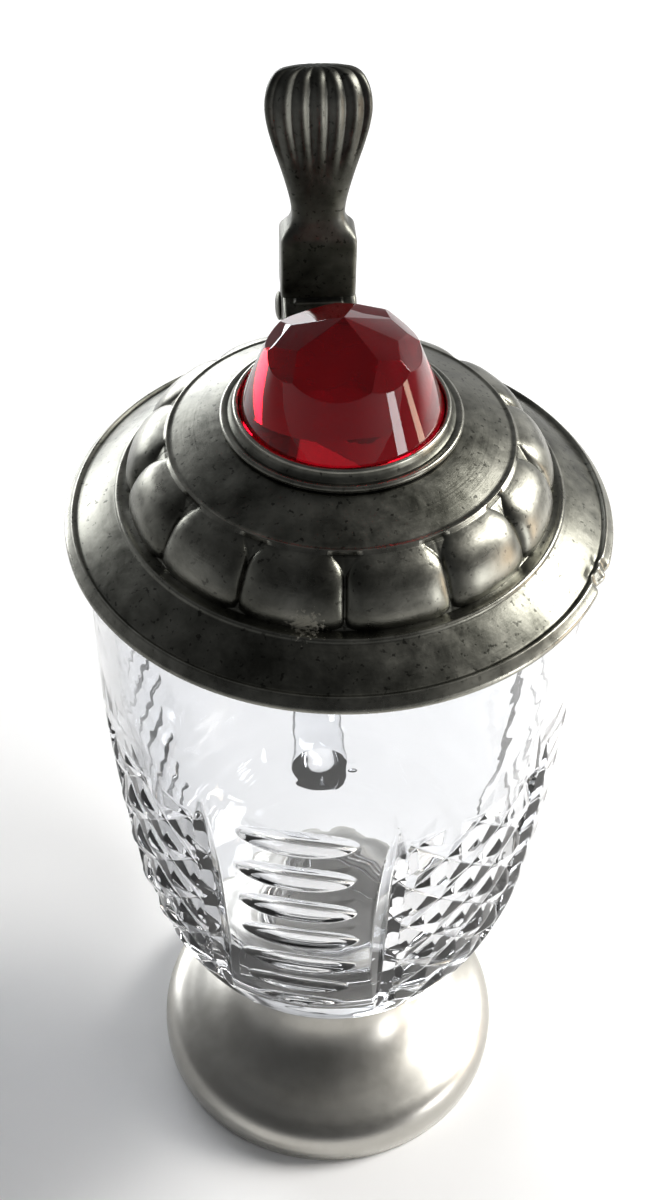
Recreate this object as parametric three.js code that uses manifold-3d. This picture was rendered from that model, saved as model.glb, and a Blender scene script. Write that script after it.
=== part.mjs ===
// Beer stein: cut glass body with an applied glass handle, a pewter foot, and a
// hinged pewter lid with a red glass inlay and a shell thumblift.
// Millimetres, +Z up, origin at the centre of the underside of the foot.
// The hinge and the handle are on +Y.
import * as THREE from 'three';
import { mergeVertices } from 'three/addons/utils/BufferGeometryUtils.js';
import Module from 'manifold-3d';

// ---------------------------------------------------------------- dimensions
const GAP = 0.3;                 // clearance left between neighbouring pieces
const RIM_Z = 169.0;             // top of the glass rim
const WALL = 3.9;                // glass wall near the rim
const BODY_R = 46.7;             // widest radius of the glass
const STEM_R = 15.2;             // short glass stem between the body and the foot
const COLLAR_Z = 36.0;           // top of the pewter collar that holds the stem
const STUB_R = 14.5;             // glass plug that is set into the foot
const STUB_Z = 15.0;
const FOOT_R = 40.8;             // foot radius at the table
const FOOT_T = 1.5;              // pewter thickness of the foot
const LOBES = 13;                // gadroons round the lid
const LOBE_SHIFT = -5.0;         // azimuth of one seam, degrees from -Y towards +X
const INLAY_Z = 212.3;           // top of the red glass
const PIN_Y = 62.0;              // hinge axis
const PIN_Z = 172.4;
const PIN_R = 1.55;
const BORE_R = 1.62;             // running clearance of 0.07 mm on the radius
const RING_R = 4.3;
const RINGS = 5;                 // three fixed rings and two lid rings
const RING_W = 2.7;
const RING_GAP = 0.3;
const HANDLE_W = 13.0;           // handle section, across
const HANDLE_T = 10.5;           // handle section, thick
const PLINTH_W = 15.2;           // thumblift block
const PALM_W = 20.6;             // thumblift shell, widest
const PALM_Z = 225.2;            // top of the thumblift

// outer glass profile [z, r]
const GLASS = [
  [COLLAR_Z + 0.3, STEM_R + 0.3], [38.5, STEM_R - 0.1], [40.6, STEM_R + 0.5], [42.4, 17.6], [43.8, 21.0], [45.0, 24.5], [46.6, 28.0],
  [48.6, 31.0], [51.2, 33.5], [54, 35.4], [58, 37.3], [62, 38.9], [70, 41.3],
  [76, 42.9], [82, 43.6], [93, 44.7], [103, 45.5], [113, 46.1], [123, 46.5],
  [133, BODY_R], [144, BODY_R], [167.7, BODY_R], [168.7, BODY_R - 0.5], [RIM_Z, BODY_R - 1.4],
];
// inner glass profile [z, r], rim to floor
const CAVITY = [
  [RIM_Z, 43.9], [168.6, 43.2], [167.6, BODY_R - WALL], [133, BODY_R - WALL], [113, 42.1],
  [93, 40.5], [82, 39.0], [74, 36.9], [68, 34.4], [63.5, 31.0], [60.2, 26.5], [58.2, 21.0], [57.2, 14.0], [57.0, 0],
];

const DEG = Math.PI / 180;

// ------------------------------------------------------------------ helpers
const wasm = await Module();
wasm.setup();

function tidy(geometry) {
  const g = geometry.index ? geometry : geometry.clone();
  g.deleteAttribute('normal');
  g.deleteAttribute('uv');
  return mergeVertices(g, 1e-5);
}

function toManifold(geometry) {
  const g = tidy(geometry.clone());
  const m = new wasm.Mesh({
    numProp: 3,
    vertProperties: new Float32Array(g.attributes.position.array),
    triVerts: new Uint32Array(g.index.array),
  });
  m.merge();
  return new wasm.Manifold(m);
}

function fromManifold(solid) {
  const m = solid.getMesh();
  const g = new THREE.BufferGeometry();
  const p = new Float32Array(m.numVert * 3);
  for (let i = 0; i < m.numVert; i++) {
    for (let k = 0; k < 3; k++) p[3 * i + k] = m.vertProperties[i * m.numProp + k];
  }
  g.setAttribute('position', new THREE.BufferAttribute(p, 3));
  g.setIndex(new THREE.BufferAttribute(new Uint32Array(m.triVerts), 1));
  return g;
}

// closed loop of [r, z] points turned about Z. scale(a, k) may pull a point in
// or out, with a the azimuth in radians from +X and k the point's index.
function turn(loop, segments, scale = null, phase = 0) {
  const n = loop.length;
  const pos = [];
  const ids = [];
  for (let k = 0; k < n; k++) {
    const [r, z] = loop[k];
    const row = [];
    if (r < 1e-6) {
      pos.push(0, 0, z);
      for (let i = 0; i < segments; i++) row.push(pos.length / 3 - 1);
    } else {
      for (let i = 0; i < segments; i++) {
        const a = (i / segments) * 2 * Math.PI + phase;
        const [rr, zz] = scale ? scale(a, k, r, z) : [r, z];
        pos.push(rr * Math.cos(a), rr * Math.sin(a), zz);
        row.push(pos.length / 3 - 1);
      }
    }
    ids.push(row);
  }
  const tri = [];
  for (let k = 0; k < n; k++) {
    const A = ids[k];
    const B = ids[(k + 1) % n];
    for (let i = 0; i < segments; i++) {
      const j = (i + 1) % segments;
      const q = [A[i], A[j], B[j], B[i]];
      if (q[0] !== q[1] && q[1] !== q[2] && q[0] !== q[2]) tri.push(q[0], q[1], q[2]);
      if (q[0] !== q[2] && q[2] !== q[3] && q[0] !== q[3]) tri.push(q[0], q[2], q[3]);
    }
  }
  const g = new THREE.BufferGeometry();
  g.setAttribute('position', new THREE.BufferAttribute(new Float32Array(pos), 3));
  g.setIndex(tri);
  return outward(g);
}

// flip every face when the volume comes out negative
function outward(g) {
  const p = g.attributes.position;
  const t = g.index.array;
  let v = 0;
  for (let i = 0; i < t.length; i += 3) {
    const [a, b, c] = [t[i], t[i + 1], t[i + 2]];
    v += p.getX(a) * (p.getY(b) * p.getZ(c) - p.getZ(b) * p.getY(c))
      - p.getY(a) * (p.getX(b) * p.getZ(c) - p.getZ(b) * p.getX(c))
      + p.getZ(a) * (p.getX(b) * p.getY(c) - p.getY(b) * p.getX(c));
  }
  if (v < 0) {
    const f = Array.from(t);
    for (let i = 0; i < f.length; i += 3) [f[i + 1], f[i + 2]] = [f[i + 2], f[i + 1]];
    g.setIndex(f);
  }
  return g;
}

// skin a stack of equal-length closed sections and cap both ends
function skin(sections) {
  const m = sections[0].length;
  const pos = [];
  for (const s of sections) for (const q of s) pos.push(...q);
  const tri = [];
  for (let k = 0; k + 1 < sections.length; k++) {
    for (let i = 0; i < m; i++) {
      const j = (i + 1) % m;
      const [a, b, c, d] = [k * m + i, k * m + j, (k + 1) * m + j, (k + 1) * m + i];
      tri.push(a, b, c, a, c, d);
    }
  }
  for (const [k, flip] of [[0, true], [sections.length - 1, false]]) {
    const mid = [0, 0, 0];
    for (const q of sections[k]) for (let e = 0; e < 3; e++) mid[e] += q[e] / m;
    pos.push(...mid);
    const c = pos.length / 3 - 1;
    for (let i = 0; i < m; i++) {
      const j = (i + 1) % m;
      if (flip) tri.push(c, k * m + j, k * m + i);
      else tri.push(c, k * m + i, k * m + j);
    }
  }
  const g = new THREE.BufferGeometry();
  g.setAttribute('position', new THREE.BufferAttribute(new Float32Array(pos), 3));
  g.setIndex(tri);
  return outward(g);
}

// cylinder along X
function rodX(r, x0, x1, y, z, n = 28) {
  const g = new THREE.CylinderGeometry(r, r, x1 - x0, n, 1);
  g.rotateZ(Math.PI / 2);
  g.translate((x0 + x1) / 2, y, z);
  return g;
}

const stein = new THREE.Group();
stein.name = 'beer_stein';

function add(name, geometry, color, roughness, metalness, extra = {}) {
  const mesh = new THREE.Mesh(tidy(geometry), new THREE.MeshStandardMaterial({
    color, roughness, metalness, ...extra,
  }));
  mesh.name = name;
  stein.add(mesh);
  return mesh;
}

const PEWTER = 0x55554f;
const PEWTER_LIGHT = 0x9a988f;
const GLASS_TINT = { transparent: true, opacity: 0.35 };

// --------------------------------------------------------------- glass body
const glassLoop = [
  [0, STUB_Z], [STUB_R + 0.8, STUB_Z], [STUB_R + 1.3, STUB_Z + 0.6], [STUB_R + 1.3, STUB_Z + 3.4], [STUB_R, STUB_Z + 5], [STUB_R, COLLAR_Z + 0.2],
  ...GLASS.map(([z, r]) => [r, z]),
  ...CAVITY.map(([z, r]) => [r, z]),
];
let glassBody = toManifold(turn(glassLoop, 56));

function glassR(z) {
  for (let i = 0; i + 1 < GLASS.length; i++) {
    if (z >= GLASS[i][0] && z <= GLASS[i + 1][0]) {
      const t = (z - GLASS[i][0]) / (GLASS[i + 1][0] - GLASS[i][0]);
      return GLASS[i][1] + t * (GLASS[i + 1][1] - GLASS[i][1]);
    }
  }
  return z < GLASS[0][0] ? GLASS[0][1] : BODY_R;
}

// cut decoration: lens-shaped cuts in four ladder panels, and tall pointed
// grooves between the panels. Azimuths are from -Y towards +X.
const LADDER_AZ = -13.5;
const SPLIT_AZ = 23.0;
const LENS_Z = [130, 119, 108, 98, 88.4, 79, 71];
const cutters = [];
for (const q of [0, 1, 3]) {                  // the handle side is left plain
  const az = LADDER_AZ + 90 * q;
  for (const z of LENS_Z) {
    const r = glassR(z);
    const lens = new THREE.SphereGeometry(1, 10, 6);
    lens.scale(11.6 * (z < 75 ? 0.8 : 1), 2.6, 3.7);
    lens.translate(0, -(r + 0.9), z);
    lens.rotateZ(az * DEG);
    cutters.push(toManifold(lens));
  }
  for (const s of [-SPLIT_AZ, SPLIT_AZ]) {
    const z0 = 64;
    const z1 = 135;
    const rows = [];
    for (let k = 0; k <= 4; k++) {
      const t = k / 4;
      const z = z0 + (z1 - z0) * t;
      const w = 3.5 * Math.pow(Math.sin(Math.PI * Math.min(0.97, Math.max(0.03, t))), 0.6) + 0.1;
      const d = 2.0 * Math.pow(Math.sin(Math.PI * Math.min(0.97, Math.max(0.03, t))), 0.6);
      const r = glassR(z);
      rows.push([[-w, -(r + 1.2), z], [0, -(r - d), z], [w, -(r + 1.2), z]]);
    }
    const groove = skin(rows);
    groove.rotateZ((az + s) * DEG);
    cutters.push(toManifold(groove));
  }
}
for (const c of cutters) glassBody = glassBody.subtract(c);
add('glass_body', fromManifold(glassBody), 0xe8eef2, 0.03, 0, GLASS_TINT);

// ------------------------------------------------------------- glass handle
const handlePath = new THREE.CatmullRomCurve3([
  [0, 40, 143.5], [0, 50, 147.6], [0, 60, 148.6], [0, 70.5, 146.2], [0, 79.8, 139.6], [0, 85.8, 129], [0, 88.0, 115],
  [0, 86.8, 101], [0, 83.2, 88], [0, 77.0, 76.5], [0, 68.5, 66.5], [0, 58.5, 59.0], [0, 48.5, 54.8], [0, 39.5, 54.4], [0, 31, 58],
].map((p) => new THREE.Vector3(...p)), false, 'catmullrom', 0.5);
function tube(path, steps, hx, ht, sides, grow = 0, from = 0, to = 1) {
  const rows = [];
  for (let k = 0; k <= steps; k++) {
    const u = from + ((to - from) * k) / steps;
    const p = path.getPointAt(u);
    const t = path.getTangentAt(u);
    const n = new THREE.Vector3(0, t.z, -t.y);     // in the YZ plane
    const swell = 1 + 0.22 * Math.exp(-Math.pow(u / 0.08, 2)) + 0.22 * Math.exp(-Math.pow((1 - u) / 0.08, 2));
    const row = [];
    for (let i = 0; i < sides; i++) {
      const a = (i / sides) * 2 * Math.PI;
      const cx = (hx * swell + grow) * Math.cos(a);
      const cn = (ht * swell + grow) * Math.sin(a);
      row.push([p.x + cx, p.y + n.y * cn, p.z + n.z * cn]);
    }
    rows.push(row);
  }
  return skin(rows);
}
const bodyKeepOut = toManifold(turn([[0, 30], [STEM_R + GAP, 30], ...GLASS.slice(0, -3).map(([z, r]) => [r + GAP, z]), [BODY_R + GAP, 175], [0, 175]], 56));
const handleSolid = toManifold(tube(handlePath, 24, HANDLE_W / 2, HANDLE_T / 2, 12)).subtract(bodyKeepOut);
add('glass_handle', fromManifold(handleSolid), 0xe8eef2, 0.03, 0, GLASS_TINT);

// --------------------------------------------------------------------- foot
const FOOT = [ // outer profile [z, r]
  [0, FOOT_R - 0.4], [0.5, FOOT_R], [3.5, FOOT_R], [6.2, 40.4], [8.4, 39.2], [9.8, 37.2], [10.9, 34.0], [12.2, 30.0],
  [14.0, 26.0], [16.8, 22.2], [20.5, 19.4], [25, 17.7], [30, 16.9], [33.5, 16.8], [35.4, 17.0], [COLLAR_Z, 16.4],
];
const footLoop = [
  ...FOOT.map(([z, r]) => [r, z]),
  [STUB_R + 0.4, COLLAR_Z], [STUB_R + 0.4, 29.5], [15.5, 28.6], [16.2, 25], [17.9, 20.2], [21.0, 15.7], [25.2, 12.6],
  [29.5, 10.7], [33.5, 9.4], [36.4, 8.4], [37.8, 7.4], [38.8, 5.8], [FOOT_R - FOOT_T, 3.2], [FOOT_R - FOOT_T - 0.2, 0],
];
add('foot_shell', turn(footLoop, 52), PEWTER_LIGHT, 0.4, 1);

// plaster that beds the glass in the foot, and the disc that closes it
add('foot_base_disc', turn([[0, 0], [FOOT_R - FOOT_T - 0.6, 0], [FOOT_R - FOOT_T - 0.6, 1.6], [0, 1.6]], 52), 0x8c8a82, 0.5, 1);
const bedLoop = [
  [0, 1.9], [38.3, 1.9], [38.3, 5.4], [37.3, 7.0], [36.1, 8.0], [33.3, 9.0], [29.3, 10.3], [25.0, 12.2], [20.7, 15.3],
  [17.5, 20.0], [15.9, 24.8], [STUB_R + GAP, 24.8], [STUB_R + GAP, STUB_Z + 5.2], [STUB_R + 1.6, STUB_Z + 3.6],
  [STUB_R + 1.6, STUB_Z + 0.4], [STUB_R + 1.0, STUB_Z - GAP], [0, STUB_Z - GAP],
];
add('foot_plaster', turn(bedLoop, 32), 0xd8d2c4, 0.95, 0);

// ---------------------------------------------------------------------- lid
const LID_TOP = [ // [r, z]
  [49.6, 169.3], [50.0, 169.9], [50.0, 171.0], [49.3, 171.6], [48.6, 171.35], [48.0, 171.7], [44, 174.4], [40.4, 176.5],
  [39.4, 176.9], [38.3, 177.0], [37.9, 178.6], [36.6, 181.6], [34.4, 184.6], [32.2, 186.6], [30.9, 187.5], [30.2, 187.9],
  [25, 190.0], [21.0, 191.7],
];
const lidUnder = [ // [r, z] back out again
  [14.2, 191.7], [14.2, 189.6], [24.6, 188.2], [29.6, 186.0], [31.8, 184.4], [33.6, 182.6], [35.2, 180.2], [36.0, 178.0],
  [36.4, 175.6], [40.6, 174.4], [41.3, 173.6], [41.3, 166.6], [42.0, 166.6], [42.0, 170.6], [43.2, 170.6], [43.6, 169.3],
];
// the lid is free of the glass by GAP all round and has a thin centring lip
const lobeDepth = { 10: 0.7, 11: 1.1, 12: 1.1, 13: 0.7 };
const lidGeo = turn([...LID_TOP, ...lidUnder], 52, (a, k, r, z) => {
  if (!lobeDepth[k]) return [r, z];
  const az = (a / DEG + 90 - LOBE_SHIFT) * (LOBES / 360);
  const f = Math.abs((az - Math.round(az)) * 2);           // 0 at a seam, 1 at a crest
  const dip = lobeDepth[k] * Math.pow(1 - Math.sqrt(1 - Math.pow(1 - f, 2)), 1);
  return [r - dip * 0.75, z - dip * 0.5];
}, (LOBE_SHIFT - 90) * DEG);
add('lid_shell', lidGeo, PEWTER, 0.45, 1);

// bezel, bed and inlay
add('lid_bezel', turn([
  [21.2, 192.0], [21.0, 193.0], [20.2, 193.6], [19.4, 193.9], [18.9, 194.7], [18.45, 195.0], [17.95, 194.8], [17.95, 192.0],
], 40), PEWTER, 0.4, 1);
add('inlay_bed', turn([[0, 190.0], [13.9, 190.0], [13.9, 191.9], [17.6, 192.0], [17.6, 192.9], [0, 192.9]], 32), 0xd8d2c4, 0.95, 0);

// red glass inlay: cone side, girdle, and a crown cut with flat facets
let inlay = toManifold(turn([[0, 193.2], [17.5, 193.2], [17.5, 194.6], [12.8, 206.8], [10.0, 216], [0, 216]], 48));
const CROWN = [-104, -56, -10, 39, 80, 120, 168, -148];   // lower facet peaks, azimuth
const APEX = new THREE.Vector3(0, 0, INLAY_Z);
function polar(r, azDeg, z) {
  const a = (azDeg - 5.5) * DEG;
  return new THREE.Vector3(r * Math.sin(a), -r * Math.cos(a), z);
}
function facetCut(a, b, c) { // remove everything above the plane through a, b, c
  const n = b.clone().sub(a).cross(c.clone().sub(a)).normalize();
  if (n.z < 0) n.negate();
  return [n, n.dot(a)];
}
const ridge = [-104, -56, 39, 80, 120, 168];
const peakZ = 208.9;
const planes = [];
for (let i = 0; i < ridge.length; i++) {
  const a = ridge[i];
  const b = ridge[(i + 1) % ridge.length];
  planes.push(facetCut(APEX, polar(9.2, a, peakZ), polar(9.2, b, peakZ)));
}
for (let i = 0; i < CROWN.length; i++) {
  const a = CROWN[i];
  const side = polar(1, a + 90, 0);           // level direction across the facet
  const peak = polar(9.2, a, peakZ);
  planes.push(facetCut(peak, peak.clone().add(side), polar(13.2, a, 205.5)));
}
for (const [n, d] of planes) inlay = inlay.trimByPlane([-n.x, -n.y, -n.z], -d);
add('lid_inlay', fromManifold(inlay), 0x9c0f1c, 0.05, 0, { transparent: true, opacity: 0.8 });

// -------------------------------------------------------------------- hinge
const ringX = [];
const total = RINGS * RING_W + (RINGS - 1) * RING_GAP;
for (let i = 0; i < RINGS; i++) {
  const x0 = -total / 2 + i * (RING_W + RING_GAP);
  ringX.push([x0, x0 + RING_W]);
}
const bore = toManifold(rodX(BORE_R, -20, 20, PIN_Y, PIN_Z, 20));
// leaves at least GAP round the swept rings of the other leaf
function knuckle(x0, x1) {
  return toManifold(rodX(RING_R, x0, x1, PIN_Y, PIN_Z, 20));
}
function clearOf(indices, r = RING_R + 0.35) {
  let s = null;
  for (const i of indices) {
    const c = toManifold(rodX(r, ringX[i][0] - RING_GAP, ringX[i][1] + RING_GAP, PIN_Y, PIN_Z, 20));
    s = s ? s.add(c) : c;
  }
  return s;
}

// strap: pewter band clamped round the handle just outside the glass body,
// with the riser that carries the three fixed rings
const strapU0 = 0.0756;
const strapU1 = 0.1661;
let strap = toManifold(tube(handlePath, 4, HANDLE_W / 2, HANDLE_T / 2, 12, GAP + 1.5, strapU0, strapU1))
  .subtract(toManifold(tube(handlePath, 24, HANDLE_W / 2, HANDLE_T / 2, 12, GAP)));
const riserRows = [
  [148.0, 4.6, 55.5, 66.5], [154.2, 5.0, 56.0, 66.0], [160, 6.0, 57.8, 65.8], [165, 7.2, 58.6, 65.6], [168.2, 7.25, 58.6, 65.6], [PIN_Z, 7.25, 58.6, 65.6],
].map(([z, w, y0, y1]) => [[-w, y0, z], [w, y0, z], [w, y1, z], [-w, y1, z]]);
let riser = toManifold(skin(riserRows))
  .subtract(toManifold(tube(handlePath, 24, HANDLE_W / 2, HANDLE_T / 2, 12, GAP)))
  .subtract(clearOf([1, 3]));
for (const i of [0, 2, 4]) riser = riser.add(knuckle(...ringX[i]));
riser = riser.subtract(bore);
add('handle_strap', fromManifold(strap.add(riser)), PEWTER, 0.5, 1);

// lid leaf: shank soldered on the lid, carrying the two moving rings
const shankRows = [
  [44.0, 6.4, 174.9, 176.9], [48.0, 7.1, 173.0, 177.4], [52.5, 7.3, 171.9, 178.0], [57.15, 7.3, 171.3, 178.3],
  [57.25, 5.2, 171.3, 178.3], [PIN_Y, 5.2, 171.0, 178.6],
].map(([y, w, z0, z1]) => [[-w, y, z0], [w, y, z0], [w, y, z1], [-w, y, z1]]);
let shank = toManifold(skin(shankRows)).subtract(clearOf([0, 2, 4]));
for (const i of [1, 3]) shank = shank.add(knuckle(...ringX[i]));
shank = shank.subtract(bore);
const lidKeepOut = toManifold(turn([
  [0, 160], [50.3, 160], [50.3, 171.3], [49.5, 171.9], [48.6, 171.75], [48.1, 172.05], [44.1, 174.8], [40.5, 176.9], [39.5, 177.3], [30, 190], [0, 190],
], 78));
shank = shank.subtract(lidKeepOut);
add('lid_shank', fromManifold(shank), PEWTER, 0.5, 1);

// thumblift: plinth, neck and fan-shaped shell, standing on the shank
const liftRows = [ // z, half width, y front, y back
  [178.9, 7.3, 55.4, 63.2], [180.2, PLINTH_W / 2, 54.6, 63.6], [190.6, PLINTH_W / 2, 54.0, 63.0], [193.4, 6.5, 54.4, 62.4],
  [196.2, 5.85, 55.2, 61.8], [201, 6.3, 55.6, 61.6], [207, 7.7, 56.0, 61.4], [213, 9.5, 56.2, 61.6], [218.0, PALM_W / 2, 56.8, 62.2],
  [221.4, 9.9, 57.8, 63.2], [223.8, 8.6, 59.2, 64.4], [PALM_Z, 6.6, 60.8, 65.0],
];
const lift = skin(liftRows.map(([z, w, y0, y1]) => {
  const row = [];
  const c = Math.min(1.6, w * 0.3);
  row.push([-w + c, y0, z], [0, y0 - 0.5, z], [w - c, y0, z], [w, y0 + c, z]);
  row.push([w, y1 - c, z], [w - c, y1, z], [0, y1 + 0.3, z], [-w + c, y1, z]);
  row.push([-w, y1 - c, z], [-w, y0 + c, z]);
  return row;
}));
let liftSolid = toManifold(lift);
for (const [x, lean] of [[-6.6, -16], [-3.4, -8], [0, 0], [3.4, 8], [6.6, 16]]) {
  const g = new THREE.CylinderGeometry(0.9, 0.35, 30, 8, 1);
  g.rotateX(Math.PI / 2);
  g.rotateY(lean * DEG);
  g.translate(x, 55.9, 219);
  liftSolid = liftSolid.subtract(toManifold(g));
}
add('thumblift', fromManifold(liftSolid), PEWTER, 0.5, 1);

// pin with its two riveted ends
add('hinge_pin', rodX(PIN_R, -total / 2 - 0.7, total / 2 + 0.7, PIN_Y, PIN_Z, 20), 0x9a9a9a, 0.35, 1);
for (const [side, name] of [[-1, 'pin_cap_left'], [1, 'pin_cap_right']]) {
  const x = side * (total / 2);
  const cap = turn([[1.60, 0.1], [3.0, 0.1], [3.0, 0.4], [2.3, 0.9], [1.60, 1.1]], 20);
  cap.rotateY(side > 0 ? Math.PI / 2 : -Math.PI / 2);
  cap.translate(x, PIN_Y, PIN_Z);
  add(name, cap, PEWTER, 0.45, 1);
}

export default stein;
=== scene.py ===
import math

import bmesh
import bpy
import numpy as np
from mathutils import Matrix, Vector


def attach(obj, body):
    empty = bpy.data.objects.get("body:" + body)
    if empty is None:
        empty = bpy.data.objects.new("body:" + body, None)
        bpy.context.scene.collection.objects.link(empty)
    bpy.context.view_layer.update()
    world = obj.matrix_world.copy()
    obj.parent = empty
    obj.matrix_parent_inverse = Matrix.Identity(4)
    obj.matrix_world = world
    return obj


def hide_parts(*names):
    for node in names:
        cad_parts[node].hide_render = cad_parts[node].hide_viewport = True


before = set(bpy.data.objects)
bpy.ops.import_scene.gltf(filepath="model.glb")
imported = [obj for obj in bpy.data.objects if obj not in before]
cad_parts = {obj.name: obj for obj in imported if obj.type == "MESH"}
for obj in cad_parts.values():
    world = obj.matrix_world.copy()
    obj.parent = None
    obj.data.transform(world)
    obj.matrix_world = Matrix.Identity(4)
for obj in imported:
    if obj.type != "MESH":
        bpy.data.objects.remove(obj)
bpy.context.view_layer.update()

MM = 0.001
DEG = math.pi / 180

# ------------------------------------------------------------------ dimensions (mm, as in the CAD frame)
RIM_Z = 169.0
BODY_R = 46.7
WALL = 3.9
PIN_Y, PIN_Z = 62.0, 172.4
RING_R, BORE_R, PIN_R = 4.3, 1.62, 1.55
RING_W, RING_GAP, RINGS = 2.7, 0.3, 5
TOTAL = RINGS * RING_W + (RINGS - 1) * RING_GAP
RING_X = [(-TOTAL / 2 + i * (RING_W + RING_GAP), -TOTAL / 2 + i * (RING_W + RING_GAP) + RING_W) for i in range(RINGS)]
HX, HT = 6.5, 5.25

GLASS = [(36.3, 15.5), (38.5, 15.1), (40.6, 15.7), (42.4, 17.6), (43.8, 21.0), (45.0, 24.5), (46.6, 28.0), (48.6, 31.0), (51.2, 33.5),
         (54, 35.4), (58, 37.3), (62, 38.9), (66, 40.2), (70, 41.3), (76, 42.7), (82, 43.6),
         (93, 44.7), (103, 45.5), (113, 46.1), (123, 46.5), (133, BODY_R), (144, BODY_R), (156, BODY_R), (167.2, BODY_R)]
CAVITY = [(167.2, BODY_R - WALL), (150, BODY_R - WALL), (133, BODY_R - WALL), (113, 42.1), (103, 41.4), (93, 40.5), (82, 38.9), (74, 36.9),
          (68, 34.4), (63.5, 31.0), (60.2, 26.5), (58.2, 21.0), (57.2, 14.0), (57.02, 7.0), (57.0, 0.0)]

# cut decoration, azimuths in degrees from -Y towards +X
LADDER_AZ, SPLIT_AZ = -13.5, 23.0
LENSES = [(130.0, 11.5, 3.7), (119.0, 11.6, 3.75), (108.2, 11.6, 3.75), (98.2, 11.6, 3.6), (88.6, 11.4, 3.5), (79.4, 10.6, 3.3), (71.2, 9.2, 2.9)]
LOBES, LOBE_AZ = 13, -3.4


# ------------------------------------------------------------------ mesh helpers
def catmull(points, per=12):
    """Dense centripetal-like spline through points (any dimension), ends kept."""
    p = np.asarray(points, float)
    p = np.vstack([2 * p[0] - p[1], p, 2 * p[-1] - p[-2]])
    out = []
    for i in range(1, len(p) - 2):
        p0, p1, p2, p3 = p[i - 1:i + 3]
        d = [max(1e-6, np.linalg.norm(b - a)) ** 0.5 for a, b in ((p0, p1), (p1, p2), (p2, p3))]
        t0, t1 = 0.0, d[0]
        t2 = t1 + d[1]
        t3 = t2 + d[2]
        for k in range(per):
            t = t1 + (t2 - t1) * k / per
            a1 = (t1 - t) / (t1 - t0) * p0 + (t - t0) / (t1 - t0) * p1
            a2 = (t2 - t) / (t2 - t1) * p1 + (t - t1) / (t2 - t1) * p2
            a3 = (t3 - t) / (t3 - t2) * p2 + (t - t2) / (t3 - t2) * p3
            b1 = (t2 - t) / (t2 - t0) * a1 + (t - t0) / (t2 - t0) * a2
            b2 = (t3 - t) / (t3 - t1) * a2 + (t - t1) / (t3 - t1) * a3
            out.append((t2 - t) / (t2 - t1) * b1 + (t - t1) / (t2 - t1) * b2)
    out.append(p[-2])
    return np.array(out)


def arc(cr, cz, rad, a0, a1, n):
    """Arc in the (r, z) plane, angles in degrees from +r towards +z."""
    a = np.linspace(a0, a1, n) * DEG
    return np.stack([cr + rad * np.cos(a), cz + rad * np.sin(a)], 1)


def chain(*parts):
    pts = np.vstack([np.asarray(q, float).reshape(-1, 2) for q in parts])
    keep = [0]
    for i in range(1, len(pts)):
        if np.linalg.norm(pts[i] - pts[keep[-1]]) > 1e-4:
            keep.append(i)
    return pts[keep]


def build(name, co, quads, tris, material=None, smooth=True):
    co = np.asarray(co, float) * MM
    me = bpy.data.meshes.new(name)
    me.vertices.add(len(co))
    me.vertices.foreach_set("co", co.astype(np.float32).ravel())
    quads = np.asarray(quads, np.int32).reshape(-1, 4)
    tris = np.asarray(tris, np.int32).reshape(-1, 3)
    # outward faces: signed volume
    def vol(f):
        if not len(f):
            return 0.0
        a, b, c = co[f[:, 0]], co[f[:, 1]], co[f[:, 2]]
        v = np.einsum("ij,ij->i", a, np.cross(b, c)).sum()
        if f.shape[1] == 4:
            d = co[f[:, 3]]
            v += np.einsum("ij,ij->i", a, np.cross(c, d)).sum()
        return v
    if vol(quads) + vol(tris) < 0:
        quads, tris = quads[:, ::-1], tris[:, ::-1]
    loops = np.concatenate([quads.ravel(), tris.ravel()]).astype(np.int32)
    starts = np.concatenate([np.arange(len(quads)) * 4, len(quads) * 4 + np.arange(len(tris)) * 3]).astype(np.int32)
    me.loops.add(len(loops))
    me.loops.foreach_set("vertex_index", loops)
    me.polygons.add(len(starts))
    me.polygons.foreach_set("loop_start", starts)
    me.polygons.foreach_set("use_smooth", np.full(len(starts), smooth))
    me.update(calc_edges=True)
    me.validate()
    ob = bpy.data.objects.new(name, me)
    bpy.context.scene.collection.objects.link(ob)
    if material:
        me.materials.append(material)
    return ob


def lathe(name, prof, segs, fn=None, material=None):
    """Turn a (r, z) profile about Z. A profile whose ends lie on the axis closes there, any other closes on itself."""
    prof = np.asarray(prof, float)
    start, end = prof[0, 0] < 1e-6, prof[-1, 0] < 1e-6
    body = prof[int(start):len(prof) - int(end)]
    az = np.arange(segs) * (360.0 / segs)
    A = np.broadcast_to(az, (len(body), segs))
    R = np.repeat(body[:, :1], segs, 1)
    Z = np.repeat(body[:, 1:], segs, 1)
    if fn:
        R, Z = fn(A, R.copy(), Z.copy(), body)
    X, Y = R * np.sin(A * DEG), -R * np.cos(A * DEG)
    co = np.stack([X, Y, Z], -1).reshape(-1, 3)
    m = len(body)
    i = np.arange(m if not (start or end) else m - 1)
    j = np.arange(segs)
    I, J = np.meshgrid(i, j, indexing="ij")
    I2, J2 = (I + 1) % m, (J + 1) % segs
    quads = np.stack([I * segs + J, I * segs + J2, I2 * segs + J2, I2 * segs + J], -1).reshape(-1, 4)
    tris = []
    if start:
        co = np.vstack([co, [0, 0, prof[0, 1]]])
        k = len(co) - 1
        tris.append(np.stack([np.full(segs, k), (j + 1) % segs, j], 1))
    if end:
        co = np.vstack([co, [0, 0, prof[-1, 1]]])
        k = len(co) - 1
        tris.append(np.stack([np.full(segs, k), (m - 1) * segs + j, (m - 1) * segs + (j + 1) % segs], 1))
    return build(name, co, quads, np.vstack(tris) if tris else [], material)


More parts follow.
